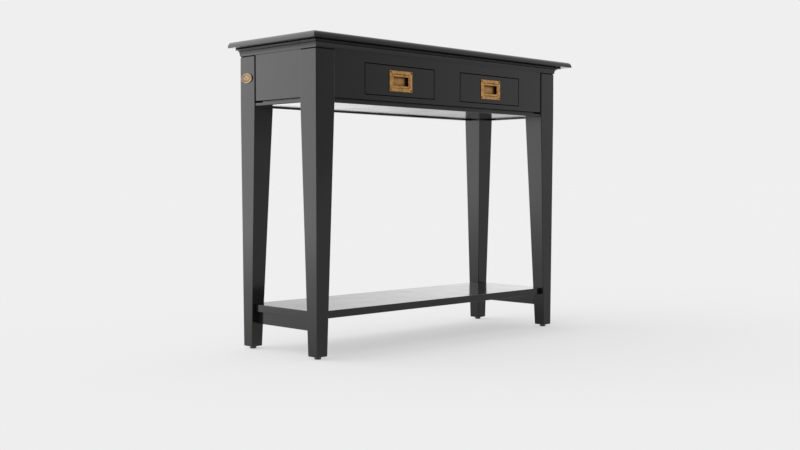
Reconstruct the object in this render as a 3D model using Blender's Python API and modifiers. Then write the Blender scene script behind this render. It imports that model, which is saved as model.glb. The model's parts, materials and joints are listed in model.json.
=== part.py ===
"""Console table with two drawers, flush brass pulls and a low shelf.

Metres, +Z up. The front faces -Y, and the floor is z = 0.
"""
from math import cos, pi, radians, sin

import bpy
import bmesh
from mathutils import Matrix, Vector

# Overall size
HEIGHT = 0.800
TOP_W = 1.020
TOP_D = 0.344

# Table top: its edge is moulded at the front and both ends, and cut square at the back
TOP_THICK = 0.0155
TOP_OVERHANG = 0.038
TOP_BACK_OVERHANG = 0.002
TOP_LIP = 0.0018
TOP_EDGE_RUN = 0.011
TOP_EDGE_STEPS = 6

# Legs: square behind the rails, tapered below them, mostly on the two inner faces
LEG_TOP = 0.0606
LEG_FOOT = 0.0344
LEG_OUTER_TAPER = 0.004
GLIDE_H = 0.0062
GLIDE_R = 0.0085
GLIDE_EDGE = 0.0016
GLIDE_STEM_R = 0.0022
GLIDE_STEM_H = 0.016
GLIDE_STEPS = 32

# Apron: rails, the moulding over them and the strip under them
APRON_H = 0.1505
RAIL_RECESS = 0.0026
RAIL_THICK = 0.019
MOULD_H = 0.0188
MOULD_OUT = 0.0155
MOULD_BAND_H = 0.0026
MOULD_FILLET_H = 0.0016
MOULD_FILLET_OUT = 0.0080
MOULD_QUIRK_H = 0.0009
MOULD_QUIRK_DEEP = 0.0035
MOULD_COVE_OUT = 0.0062
MOULD_FOOT_OUT = 0.0012
MOULD_FOOT_H = 0.0012
MOULD_BACK = 0.00015
TOP_GAP_H = 0.0016
TOP_GAP_DEEP = 0.001
LEG_GAP_H = 0.0028
LEG_GAP_DEEP = 0.0014
COVE_STEPS = 6
STRIP_H = 0.0078
STRIP_W = 0.020
STRIP_RECESS = 0.0022
STRIP_NOSE = 0.0022
STRIP_NOSE_STEPS = 3
PANEL_RIM = 0.0048
PANEL_RECESS = 0.014
PANEL_UP = 0.004

# Drawers and the frame that they run in
END_STILE_W = 0.10345
CENTRE_STILE_W = 0.1029
TOP_RAIL_H = 0.04335
OPENING_H = 0.0812
REVEAL = 0.0020
DRAWER_WALL = 0.012
DRAWER_SIDE_H = 0.058
DRAWER_BOTTOM_THICK = 0.005
DRAWER_BOTTOM_UP = 0.006
DRAWER_GROOVE = 0.005
DRAWER_BACK_SPACE = 0.014
RUNNER_W = 0.026
GUIDE_W = 0.011
GUIDE_H = 0.030
GUIDE_PLAY = 0.0008

# Flush ring pulls
PLATE_W = 0.083
PLATE_H = 0.0536
PLATE_THICK = 0.0016
PLATE_CORNER_R = 0.001
PULL_WELL_W = 0.066
PULL_WELL_H = 0.037
PULL_WELL_DEPTH = 0.0084
PULL_WALL = 0.0011
PULL_POCKET_PLAY = 0.0004
RING_PLAY = 0.0004
RING_TOP_PLAY = 0.0008
RING_THICK = 0.0036
RING_BACK_SET = 0.0002
RING_HOLE_W = 0.0555
RING_HOLE_H = 0.024
RING_HOLE_TOP_R = 0.001
RING_HOLE_LOW_R = 0.003
RING_TOP_R = 0.0022
RING_LOW_R = 0.0085
RING_EDGE = 0.0007
RING_AXIS_DROP = 0.0024
TRUNNION_R = 0.0011
TRUNNION_OUT = 0.0010
TRUNNION_PLAY = 0.0001
TRUNNION_CLEAR = 0.0011
SCREW_INSET = 0.0041
SCREW_HEAD_R = 0.0026
SCREW_HEAD_DEPTH = 0.0012
SCREW_SHANK_R = 0.0011
SCREW_LENGTH = 0.010
SCREW_PLAY = 0.0003
SCREW_STEPS = 18
CORNER_STEPS = 4

# Shelf and the stretchers under its ends
SHELF_TOP_Z = 0.118
SHELF_THICK = 0.0193
SHELF_INSET_X = 0.0096
SHELF_INSET_Y = 0.0117
STRETCHER_H = 0.0318
STRETCHER_THICK = 0.018
STRETCHER_INSET = 0.0180

# Oval badge on the left rear leg
BADGE_W = 0.044
BADGE_H = 0.026
BADGE_THICK = 0.0032
BADGE_CROWN = 0.00066
BADGE_RIM = 0.00044
BADGE_CROWN_SHARE = 0.86
BADGE_CROWN_STEPS = 5
BADGE_STEPS = 40
BADGE_DROP = 0.077

GAP = 0.0003
SOFT_EDGE = 0.0010
CUT_OVERRUN = 0.004
SHARP_ANGLE = radians(40)
BAR_STEPS = 16
MERGE_DISTANCE = 0.00005

# Worked out from the sizes above
UNDER_TOP = HEIGHT - TOP_THICK
BODY_W = TOP_W - 2 * TOP_OVERHANG
BODY_FRONT = -TOP_D / 2 + TOP_OVERHANG
BODY_BACK = TOP_D / 2 - TOP_BACK_OVERHANG
BODY_MID_Y = (BODY_FRONT + BODY_BACK) / 2
BODY_D = BODY_BACK - BODY_FRONT
APRON_LOW = UNDER_TOP - APRON_H
PANEL_LOW = APRON_LOW + STRIP_H + GAP
PANEL_HIGH = PANEL_LOW + PANEL_RIM
RAIL_LOW = PANEL_HIGH + GAP
RAIL_HIGH = UNDER_TOP - GAP
COVE_LOW = UNDER_TOP - MOULD_H
RAIL_FRONT = BODY_FRONT + RAIL_RECESS
RAIL_BACK_FACE = BODY_BACK - RAIL_RECESS
RAIL_END = BODY_W / 2 - LEG_TOP - GAP
OPENING_HIGH = UNDER_TOP - TOP_RAIL_H
OPENING_LOW = OPENING_HIGH - OPENING_H
OPENING_W = (BODY_W - 2 * LEG_TOP - 2 * END_STILE_W - CENTRE_STILE_W) / 2
DRAWER_X = (CENTRE_STILE_W + OPENING_W) / 2
FRONT_W = OPENING_W - 2 * REVEAL
FRONT_H = OPENING_H - 2 * REVEAL
FRONT_MID_Z = (OPENING_LOW + OPENING_HIGH) / 2
FRONT_INSIDE = RAIL_FRONT + RAIL_THICK
BACK_RAIL_INSIDE = RAIL_BACK_FACE - RAIL_THICK
DRAWER_REAR = BACK_RAIL_INSIDE - DRAWER_BACK_SPACE
DRAWER_SIDE_LOW = OPENING_LOW + REVEAL
SIDE_OUT = FRONT_W / 2 - GAP
PLATE_FACE = RAIL_FRONT - GAP / 2 - PLATE_THICK
RING_FRONT = PLATE_FACE + RING_BACK_SET
RING_W = PULL_WELL_W - 2 * RING_PLAY
RING_H = PULL_WELL_H - RING_PLAY - RING_TOP_PLAY
RING_TOP_Z = FRONT_MID_Z + PULL_WELL_H / 2 - RING_TOP_PLAY
HINGE_Y = RING_FRONT + RING_THICK / 2
HINGE_Z = RING_TOP_Z - RING_AXIS_DROP
SHELF_LOW = SHELF_TOP_Z - SHELF_THICK
SHELF_X = BODY_W / 2 - LEG_OUTER_TAPER - SHELF_INSET_X
SHELF_Y = BODY_D / 2 - LEG_OUTER_TAPER - SHELF_INSET_Y

for old in list(bpy.data.objects):
    bpy.data.objects.remove(old, do_unlink=True)

parts = bpy.data.collections.new("console_table")
cutters = bpy.data.collections.new("cutters")
bpy.context.scene.collection.children.link(parts)
bpy.context.scene.collection.children.link(cutters)


def make_material(name, colour, roughness, metallic=0.0):
    """One Principled finish, with its colour in linear values."""
    material = bpy.data.materials.new(name)
    material.use_nodes = True
    shader = material.node_tree.nodes["Principled BSDF"]
    shader.inputs["Base Color"].default_value = (*colour, 1.0)
    shader.inputs["Roughness"].default_value = roughness
    shader.inputs["Metallic"].default_value = metallic
    material.diffuse_color = (*colour, 1.0)
    return material


LACQUER = ("black_lacquer", (0.022, 0.022, 0.021), 0.25)
BARE_WOOD = ("drawer_poplar", (0.50, 0.36, 0.22), 0.6)
PLYWOOD = ("lacquered_plywood", (0.030, 0.030, 0.029), 0.35)
BRASS = ("antique_brass", (0.55, 0.40, 0.20), 0.35, 1.0)
PALE_BRASS = ("pale_brass", (0.75, 0.66, 0.48), 0.3, 1.0)
BLACK_PLASTIC = ("black_nylon", (0.01, 0.01, 0.01), 0.5)


def add_object(name, mesh, finish, location=(0, 0, 0)):
    """Puts a mesh in the parts collection with a material of its own."""
    obj = bpy.data.objects.new(name, mesh)
    obj.location = location
    obj.data.materials.append(make_material(f"{name}_{finish[0]}", *finish[1:]))
    parts.objects.link(obj)
    return obj


def cube_mesh(name, size):
    """A box mesh round its own middle."""
    mesh = bpy.data.meshes.new(name)
    bm = bmesh.new()
    bmesh.ops.create_cube(bm, size=1.0)
    bmesh.ops.scale(bm, vec=size, verts=bm.verts)
    bm.to_mesh(mesh)
    bm.free()
    return mesh


def box(name, low, high, finish):
    """A plain board between two corners."""
    low, high = Vector(low), Vector(high)
    return add_object(name, cube_mesh(name, high - low), finish, (low + high) / 2)


def box_cutter(name, low, high):
    """A hidden box between two corners."""
    low, high = Vector(low), Vector(high)
    return make_cutter(name, cube_mesh(name, high - low), (low + high) / 2)


def make_cutter(name, mesh, location=(0, 0, 0)):
    """A hidden body that a Boolean uses."""
    cutter = bpy.data.objects.new(name, mesh)
    cutter.location = location
    cutter.hide_render = True
    cutter.display_type = "WIRE"
    cutters.objects.link(cutter)
    return cutter


def boolean(obj, other, operation="DIFFERENCE"):
    """Cuts a body out of a piece, or joins it on."""
    modifier = obj.modifiers.new(operation.lower(), "BOOLEAN")
    modifier.operation = operation
    modifier.solver = "EXACT"
    modifier.object = other


def soften(obj, width=SOFT_EDGE, segments=1):
    """Breaks the sharp edges of a board."""
    modifier = obj.modifiers.new("soft_edges", "BEVEL")
    modifier.width = width
    modifier.segments = segments
    modifier.limit_method = "ANGLE"
    modifier.angle_limit = SHARP_ANGLE


def loft(name, sections, finish=None):
    """Joins closed sections, each a list of points in the same order, into one capped body."""
    mesh = bpy.data.meshes.new(name)
    bm = bmesh.new()
    rings = [[bm.verts.new(point) for point in section] for section in sections]
    for lower, upper in zip(rings, rings[1:]):
        for i, start in enumerate(lower):
            following = (i + 1) % len(lower)
            bm.faces.new((start, lower[following], upper[following], upper[i]))
    bm.faces.new(list(reversed(rings[0])))
    bm.faces.new(rings[-1])
    bmesh.ops.recalc_face_normals(bm, faces=bm.faces)
    bm.to_mesh(mesh)
    bm.free()
    return mesh if finish is None else add_object(name, mesh, finish)


def rectangle(x0, x1, y0, y1, z):
    """The four corners of a level section."""
    return [(x0, y0, z), (x1, y0, z), (x1, y1, z), (x0, y1, z)]


def outline_mesh(name, points, low, high):
    """A flat outline raised from one height to another."""
    return loft(name, [[(x, y, z) for x, y in points] for z in (low, high)])


def turned_mesh(name, profile, steps):
    """Turns a profile of (radius, height) points about Z with a Screw modifier."""
    source = bpy.data.meshes.new(name)
    points = [(radius, 0, height) for radius, height in profile]
    source.from_pydata(points, [(i, i + 1) for i in range(len(points) - 1)], [])
    turner = bpy.data.objects.new(name, source)
    screw = turner.modifiers.new("turn", "SCREW")
    screw.steps = steps
    screw.render_steps = steps
    screw.use_merge_vertices = True
    screw.merge_threshold = MERGE_DISTANCE
    screw.use_smooth_shade = True
    cutters.objects.link(turner)
    depsgraph = bpy.context.evaluated_depsgraph_get()
    mesh = bpy.data.meshes.new_from_object(turner.evaluated_get(depsgraph))
    bpy.data.objects.remove(turner, do_unlink=True)
    bm = bmesh.new()
    bm.from_mesh(mesh)
    bmesh.ops.remove_doubles(bm, verts=bm.verts, dist=MERGE_DISTANCE)
    bmesh.ops.recalc_face_normals(bm, faces=bm.faces)
    bm.to_mesh(mesh)
    bm.free()
    return mesh


def turn_to_y(mesh):
    """Lays a turned mesh down so that its top looks to -Y."""
    mesh.transform(Matrix.Rotation(radians(90), 4, "X"))
    return mesh


def leg_offsets(z):
    """Outer and inner distance of a leg's faces from the body's corner line at one height."""
    share = min(1.0, max(0.0, (APRON_LOW - z) / (APRON_LOW - GLIDE_H)))
    outer = LEG_OUTER_TAPER * share
    inner = outer + LEG_TOP + (LEG_FOOT - LEG_TOP) * share
    return outer, inner


def leg_section(side_x, side_y, z):
    """One level of a leg, as a rectangle."""
    outer, inner = leg_offsets(z)
    xs = sorted(side_x * (BODY_W / 2 - reach) for reach in (outer, inner))
    ys = sorted(BODY_MID_Y + side_y * (BODY_D / 2 - reach) for reach in (outer, inner))
    return rectangle(*xs, *ys, z)


def leg_centre(side_x, side_y, z):
    """The middle of a leg at one height."""
    outer, inner = leg_offsets(z)
    reach = (outer + inner) / 2
    return side_x * (BODY_W / 2 - reach), BODY_MID_Y + side_y * (BODY_D / 2 - reach)


def make_legs():
    """Four tapered legs, each on a turned glide whose stem goes up into the leg."""
    for row, side_y in (("front", -1), ("rear", 1)):
        for hand, side_x in (("left", -1), ("right", 1)):
            levels = (GLIDE_H + GAP, APRON_LOW, RAIL_HIGH)
            sections = [leg_section(side_x, side_y, z) for z in levels]
            leg = loft(f"{row}_{hand}_leg", sections, LACQUER)
            soften(leg)
            cut_shadow_gap(leg, side_x, side_y)
            x, y = leg_centre(side_x, side_y, GLIDE_H)
            make_glide(f"{row}_{hand}_glide", x, y, leg)


def cut_shadow_gap(leg, side_x, side_y):
    """The narrow gap in a leg's two outer faces, just under the moulding."""
    corner = Vector((side_x * BODY_W / 2, BODY_MID_Y + side_y * BODY_D / 2, 0))
    low_z, high_z = COVE_LOW - LEG_GAP_H, COVE_LOW
    long = LEG_TOP + CUT_OVERRUN
    for name, reach_x, reach_y in (("end", LEG_GAP_DEEP, long), ("face", long, LEG_GAP_DEEP)):
        xs = sorted((corner.x + side_x * CUT_OVERRUN, corner.x - side_x * reach_x))
        ys = sorted((corner.y + side_y * CUT_OVERRUN, corner.y - side_y * reach_y))
        cutter = box_cutter(f"{leg.name}_{name}_gap", (xs[0], ys[0], low_z), (xs[1], ys[1], high_z))
        boolean(leg, cutter)


def make_glide(name, x, y, leg):
    """A glide with its stem, and the hole for the stem in the leg."""
    stem_top = GLIDE_H + GLIDE_STEM_H
    foot = [(0, 0), (GLIDE_R - GLIDE_EDGE, 0), (GLIDE_R, GLIDE_EDGE), (GLIDE_R, GLIDE_H)]
    stem = [(GLIDE_STEM_R, GLIDE_H), (GLIDE_STEM_R, stem_top), (0, stem_top)]
    add_object(name, turned_mesh(name, (foot + stem)[::-1], GLIDE_STEPS), BLACK_PLASTIC, (x, y, 0))
    hole_r = GLIDE_STEM_R + GAP
    hole_top = GLIDE_STEM_H + CUT_OVERRUN + GAP
    profile = [(0, hole_top), (hole_r, hole_top), (hole_r, 0), (0, 0)]
    hole = turned_mesh(f"{name}_hole", profile, BAR_STEPS)
    boolean(leg, make_cutter(f"{name}_hole", hole, (x, y, GLIDE_H - CUT_OVERRUN)))


def make_table_top():
    """A board with a rounded-over edge on the front and ends, widest at its lower lip."""
    levels = [(UNDER_TOP, 0.0), (UNDER_TOP + TOP_LIP, 0.0)]
    for step in range(1, TOP_EDGE_STEPS + 1):
        angle = pi / 2 * step / TOP_EDGE_STEPS
        rise = (TOP_THICK - TOP_LIP) * sin(angle)
        levels.append((UNDER_TOP + TOP_LIP + rise, TOP_EDGE_RUN * (1 - cos(angle))))
    sections = []
    for z, inset in levels:
        half_w = TOP_W / 2 - inset
        sections.append(rectangle(-half_w, half_w, -TOP_D / 2 + inset, TOP_D / 2, z))
    loft("table_top", sections, LACQUER)


def run(name, profile, start, end, outward, mitre_start, mitre_end, finish):
    """Sweeps a profile of (out, z) points along a straight line, with square or mitred ends."""
    start, end, outward = Vector(start), Vector(end), Vector(outward)
    along = (end - start).normalized()
    sections = []
    for point, sense, mitred in ((start, -1, mitre_start), (end, 1, mitre_end)):
        section = []
        for out, z in profile:
            slide = out if mitred else 0.0
            place = point + outward * out + along * (sense * (slide - GAP / 2))
            section.append((place.x, place.y, z))
        sections.append(section)
    return loft(name, sections, finish)


def cove_profile():
    """Top moulding: a gap under the board, a band, a fillet, a quirk and a cove that dies on the leg."""
    top = UNDER_TOP - GAP
    band_high = UNDER_TOP - TOP_GAP_H
    band_low = band_high - MOULD_BAND_H
    fillet_low = band_low - MOULD_FILLET_H
    cove_high = fillet_low - MOULD_QUIRK_H
    gap_back = MOULD_OUT - TOP_GAP_DEEP
    quirk_back = MOULD_COVE_OUT - MOULD_QUIRK_DEEP
    points = [(MOULD_BACK, top), (gap_back, top), (gap_back, band_high), (MOULD_OUT, band_high)]
    points += [(MOULD_OUT, band_low), (MOULD_FILLET_OUT, band_low), (MOULD_FILLET_OUT, fillet_low)]
    points += [(quirk_back, fillet_low), (quirk_back, cove_high)]
    cove_low = COVE_LOW + MOULD_FOOT_H
    for step in range(COVE_STEPS + 1):
        angle = pi / 2 * step / COVE_STEPS
        out = MOULD_COVE_OUT - (MOULD_COVE_OUT - MOULD_FOOT_OUT) * sin(angle)
        points.append((out, cove_low + (cove_high - cove_low) * cos(angle)))
    points += [(MOULD_FOOT_OUT, COVE_LOW), (MOULD_BACK, COVE_LOW)]
    return points


def make_mouldings():
    """The cove moulding along the front and both ends, mitred at the front corners."""
    half = BODY_W / 2
    profile = cove_profile()
    front = (-half, BODY_FRONT, 0), (half, BODY_FRONT, 0)
    run("front_cove_moulding", profile, *front, (0, -1, 0), True, True, LACQUER)
    for hand, side in (("left", -1), ("right", 1)):
        ends = (side * half, BODY_FRONT, 0), (side * half, BODY_BACK, 0)
        run(f"{hand}_cove_moulding", profile, *ends, (side, 0, 0), True, False, LACQUER)


def rail_profile(low):
    """A rail stands back from the legs, except behind the moulding, where it is level with them."""
    return [
        (-RAIL_RECESS - RAIL_THICK, low),
        (-RAIL_RECESS, low),
        (-RAIL_RECESS, COVE_LOW + GAP),
        (0.0, COVE_LOW + GAP),
        (0.0, RAIL_HIGH),
        (-RAIL_RECESS - RAIL_THICK, RAIL_HIGH),
    ]


def make_rails():
    """End rails, back rail and the face frame with two drawer openings."""
    legs_inside = BODY_D / 2 - LEG_TOP
    for hand, side in (("left", -1), ("right", 1)):
        x = side * BODY_W / 2
        ends = (x, BODY_MID_Y - legs_inside, 0), (x, BODY_MID_Y + legs_inside, 0)
        run(f"{hand}_end_rail", rail_profile(RAIL_LOW), *ends, (side, 0, 0), False, False, LACQUER)
    half = BODY_W / 2 - LEG_TOP
    low = (-RAIL_END, BACK_RAIL_INSIDE, RAIL_LOW)
    box("back_rail", low, (RAIL_END, RAIL_BACK_FACE, RAIL_HIGH), LACQUER)
    ends = (-half, BODY_FRONT, 0), (half, BODY_FRONT, 0)
    run("front_top_rail", rail_profile(OPENING_HIGH), *ends, (0, -1, 0), False, False, LACQUER)
    low = (-RAIL_END, RAIL_FRONT, RAIL_LOW)
    box("front_bottom_rail", low, (RAIL_END, FRONT_INSIDE, OPENING_LOW), LACQUER)
    inner = CENTRE_STILE_W / 2
    outer = inner + OPENING_W
    for name, x0, x1 in (
        ("front_left_stile", -RAIL_END, -outer),
        ("front_centre_stile", -inner, inner),
        ("front_right_stile", outer, RAIL_END),
    ):
        low = (x0, RAIL_FRONT, OPENING_LOW + GAP)
        box(name, low, (x1, FRONT_INSIDE, OPENING_HIGH - GAP), LACQUER)


def strip_profile(recess):
    """The strip under a rail, with a rounded nose on its lower outer edge."""
    top = APRON_LOW + STRIP_H
    points = [(-recess - STRIP_W, top), (-recess, top)]
    for step in range(STRIP_NOSE_STEPS + 1):
        angle = pi / 2 * step / STRIP_NOSE_STEPS
        out = -recess - STRIP_NOSE * (1 - cos(angle))
        points.append((out, APRON_LOW + STRIP_NOSE * (1 - sin(angle))))
    points.append((-recess - STRIP_W, APRON_LOW))
    return points


def make_bottom():
    """The panel that closes the underside, and the four strips below its edges."""
    profile = strip_profile(STRIP_RECESS)
    half = BODY_W / 2 - LEG_TOP
    deep = BODY_D / 2 - LEG_TOP
    for row, side in (("front", -1), ("back", 1)):
        y = BODY_MID_Y + side * BODY_D / 2
        ends = (-half, y, 0), (half, y, 0)
        run(f"{row}_bottom_strip", profile, *ends, (0, side, 0), False, False, LACQUER)
    for hand, side in (("left", -1), ("right", 1)):
        x = side * BODY_W / 2
        ends = (x, BODY_MID_Y - deep, 0), (x, BODY_MID_Y + deep, 0)
        run(f"{hand}_bottom_strip", profile, *ends, (side, 0, 0), False, False, LACQUER)
    make_panel(half - GAP, deep - GAP)


def make_panel(notch_x, notch_y):
    """A board whose rim lies between rails and strips, and whose middle fills the strips' frame."""
    rim = notched_outline(BODY_W / 2 - PANEL_RECESS, BODY_D / 2 - PANEL_RECESS, notch_x, notch_y)
    panel = add_object("bottom_panel", outline_mesh("bottom_panel", rim, PANEL_LOW, PANEL_HIGH), PLYWOOD)
    inside = STRIP_RECESS + STRIP_W + GAP
    middle = notched_outline(BODY_W / 2 - inside, BODY_D / 2 - inside, notch_x, notch_y)
    low, high = APRON_LOW + PANEL_UP, PANEL_LOW + PANEL_RIM / 2
    boolean(panel, make_cutter("panel_middle", outline_mesh("panel_middle", middle, low, high)), "UNION")


def notched_outline(half_w, half_d, notch_x, notch_y):
    """A rectangle about the body's middle, with its corners cut out for the legs."""
    corner = [(half_w, notch_y), (notch_x, notch_y), (notch_x, half_d)]
    points = list(corner)
    points += [(-x, y) for x, y in reversed(corner)]
    points += [(-x, -y) for x, y in corner]
    points += [(x, -y) for x, y in reversed(corner)]
    return [(x, BODY_MID_Y + y) for x, y in points]


def make_shelf():
    """The low shelf, cut out around the legs, and the stretchers that carry it."""
    outer, inner = leg_offsets(SHELF_TOP_Z)
    notch_x = BODY_W / 2 - inner - GAP
    notch_y = BODY_D / 2 - inner - GAP
    points = notched_outline(SHELF_X, SHELF_Y, notch_x, notch_y)
    shelf = outline_mesh("shelf", points, SHELF_LOW, SHELF_TOP_Z)
    soften(add_object("shelf", shelf, LACQUER), SOFT_EDGE / 2)
    top = SHELF_LOW - GAP
    low = SHELF_LOW - STRETCHER_H
    for hand, side in (("left", -1), ("right", 1)):
        sections = []
        for z in (low, top):
            reach = BODY_D / 2 - leg_offsets(z)[1] - GAP
            out = BODY_W / 2 - LEG_OUTER_TAPER - STRETCHER_INSET
            xs = sorted((side * out, side * (out - STRETCHER_THICK)))
            sections.append(rectangle(*xs, BODY_MID_Y - reach, BODY_MID_Y + reach, z))
        loft(f"{hand}_stretcher", sections, LACQUER)


def make_runners():
    """Under and beside each drawer side: a runner on the bottom panel and a guide on the runner."""
    base = PANEL_HIGH + GAP
    runner_top = DRAWER_SIDE_LOW - GAP
    y0, y1 = FRONT_INSIDE + GAP, BACK_RAIL_INSIDE - GAP
    for hand, side in (("left", -1), ("right", 1)):
        for place, edge in (("inner", -1), ("outer", 1)):
            outer = side * DRAWER_X + side * edge * (SIDE_OUT + GUIDE_PLAY + GUIDE_W)
            inner = outer - side * edge * RUNNER_W
            xs = sorted((outer, inner))
            name = f"{hand}_drawer_{place}"
            box(f"{name}_runner", (xs[0], y0, base), (xs[1], y1, runner_top), BARE_WOOD)
            xs = sorted((outer, outer - side * edge * GUIDE_W))
            low = runner_top + GAP
            box(f"{name}_guide", (xs[0], y0, low), (xs[1], y1, low + GUIDE_H), BARE_WOOD)


def make_drawer(hand, side, ride):
    """One drawer: front, two grooved sides, back and bottom, all on its slide's empty."""
    x = side * DRAWER_X
    low_z, high_z = FRONT_MID_Z - FRONT_H / 2, FRONT_MID_Z + FRONT_H / 2
    half = FRONT_W / 2
    name = f"{hand}_drawer"
    front_low, front_high = (x - half, RAIL_FRONT, low_z), (x + half, FRONT_INSIDE, high_z)
    front = box(f"{name}_front", front_low, front_high, LACQUER)
    soften(front, SOFT_EDGE / 2)
    side_y = FRONT_INSIDE + GAP
    side_high = DRAWER_SIDE_LOW + DRAWER_SIDE_H
    inside = SIDE_OUT - DRAWER_WALL
    pieces = [front]
    walls = []
    for place, edge in (("left", -1), ("right", 1)):
        xs = sorted((x + edge * SIDE_OUT, x + edge * inside))
        low, high = (xs[0], side_y, DRAWER_SIDE_LOW), (xs[1], DRAWER_REAR, side_high)
        walls.append(box(f"{name}_{place}_side", low, high, BARE_WOOD))
    bottom_low = DRAWER_SIDE_LOW + DRAWER_BOTTOM_UP
    bottom_high = bottom_low + DRAWER_BOTTOM_THICK
    reach = inside + DRAWER_GROOVE
    low = (x - reach, side_y - DRAWER_GROOVE, bottom_low)
    bottom = box(f"{name}_bottom", low, (x + reach, DRAWER_REAR, bottom_high), BARE_WOOD)
    margin = Vector((GAP, GAP, GAP))
    groove_high = Vector((x + reach, DRAWER_REAR + CUT_OVERRUN, bottom_high))
    groove = box_cutter(f"{name}_groove", Vector(low) - margin, groove_high + margin)
    for piece in walls + [front]:
        boolean(piece, groove)
    back_low = (x - inside + GAP, DRAWER_REAR - DRAWER_WALL, bottom_high + GAP)
    back = box(f"{name}_back", back_low, (x + inside - GAP, DRAWER_REAR, side_high), BARE_WOOD)
    pieces += walls + [bottom, back]
    pieces += make_pull(hand, x, front)
    for piece in pieces:
        attach(piece, ride)


def rounded_box(name, centre, size, low_radius, high_radius):
    """A slab in the XZ plane with its lower and upper corners rounded."""
    half_w, half_h = size[0] / 2, size[2] / 2
    points = []
    upper = (1, 1, high_radius, 0), (-1, 1, high_radius, 90)
    lower = (-1, -1, low_radius, 180), (1, -1, low_radius, 270)
    for sx, sz, radius, start in upper + lower:
        for step in range(CORNER_STEPS + 1):
            angle = radians(start + 90 * step / CORNER_STEPS)
            px = sx * (half_w - radius) + radius * cos(angle)
            pz = sz * (half_h - radius) + radius * sin(angle)
            points.append((px, pz))
    sections = []
    for y in (-size[1] / 2, size[1] / 2):
        sections.append([(centre[0] + px, centre[1] + y, centre[2] + pz) for px, pz in points])
    return loft(name, sections)


def make_pull(hand, x, front):
    """A flush pull: a plate with a sunk well, the pocket for it in the front, and four screws."""
    name = f"{hand}_pull"
    plate_size = (PLATE_W, PLATE_THICK, PLATE_H)
    centre = (x, PLATE_FACE + PLATE_THICK / 2, FRONT_MID_Z)
    mesh = rounded_box(f"{name}_plate", centre, plate_size, PLATE_CORNER_R, PLATE_CORNER_R)
    plate = add_object(f"{name}_plate", mesh, BRASS)
    shell_front, shell_back = centre[1], PLATE_FACE + PULL_WELL_DEPTH + PULL_WALL
    wide, high = PULL_WELL_W + 2 * PULL_WALL, PULL_WELL_H + 2 * PULL_WALL
    low_r, high_r = RING_LOW_R + RING_PLAY, RING_TOP_R + RING_PLAY
    centre = (x, (shell_front + shell_back) / 2, FRONT_MID_Z)
    shell_size = (wide, shell_back - shell_front, high)
    shell = rounded_box(f"{name}_shell", centre, shell_size, low_r + PULL_WALL, high_r + PULL_WALL)
    boolean(plate, make_cutter(f"{name}_shell", shell), "UNION")
    well_deep = PULL_WELL_DEPTH + CUT_OVERRUN
    centre = (x, PLATE_FACE + PULL_WELL_DEPTH - well_deep / 2, FRONT_MID_Z)
    well = rounded_box(f"{name}_well", centre, (PULL_WELL_W, well_deep, PULL_WELL_H), low_r, high_r)
    boolean(plate, make_cutter(f"{name}_well", well))
    reach_x, reach_z = wide / 2 + PULL_POCKET_PLAY, high / 2 + PULL_POCKET_PLAY
    low = (x - reach_x, RAIL_FRONT - CUT_OVERRUN, FRONT_MID_Z - reach_z)
    pocket_high = (x + reach_x, shell_back + PULL_POCKET_PLAY, FRONT_MID_Z + reach_z)
    boolean(front, box_cutter(f"{name}_pocket", low, pocket_high))
    bore = cylinder_x(f"{name}_bore", TRUNNION_R + TRUNNION_PLAY, wide / 2 + GAP)
    boolean(plate, make_cutter(f"{name}_bore", bore, (x, HINGE_Y, HINGE_Z)))
    return [plate] + make_screws(name, x, (plate, front))


def make_screws(name, x, holders):
    """The four screws at the corners of a plate."""
    reach_x, reach_z = PLATE_W / 2 - SCREW_INSET, PLATE_H / 2 - SCREW_INSET
    screws = []
    for index, (sx, sz) in enumerate(((-1, 1), (1, 1), (-1, -1), (1, -1)), start=1):
        place = (x + sx * reach_x, PLATE_FACE, FRONT_MID_Z + sz * reach_z)
        screws.append(make_screw(f"{name}_screw_{index}", place, holders))
    return screws


def screw_profile(play):
    """Half outline of a countersunk screw, with its head at height 0 and its point below."""
    head = SCREW_HEAD_R + play
    shank = SCREW_SHANK_R + play
    tip = -SCREW_LENGTH - play
    return [(0, tip), (shank, tip), (shank, -SCREW_HEAD_DEPTH), (head, 0)]


def make_screw(name, place, holders):
    """One screw, and its hole in each piece that holds it."""
    body = screw_profile(0.0) + [(0, 0)]
    screw = add_object(name, turn_to_y(turned_mesh(name, body[::-1], SCREW_STEPS)), BRASS, place)
    head = SCREW_HEAD_R + SCREW_PLAY
    hole = screw_profile(SCREW_PLAY) + [(head, CUT_OVERRUN), (0, CUT_OVERRUN)]
    mesh = turn_to_y(turned_mesh(f"{name}_hole", hole[::-1], SCREW_STEPS))
    cutter = make_cutter(f"{name}_hole", mesh, place)
    for holder in holders:
        boolean(holder, cutter)
    return screw


def cylinder_x(name, radius, half_length):
    """A round bar along X."""
    mesh = bpy.data.meshes.new(name)
    bm = bmesh.new()
    round_bar = {"cap_ends": True, "segments": BAR_STEPS, "radius1": radius, "radius2": radius}
    bmesh.ops.create_cone(bm, depth=2 * half_length, **round_bar)
    bmesh.ops.rotate(bm, verts=bm.verts, matrix=Matrix.Rotation(radians(90), 3, "Y"))
    bm.to_mesh(mesh)
    bm.free()
    return mesh


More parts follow.
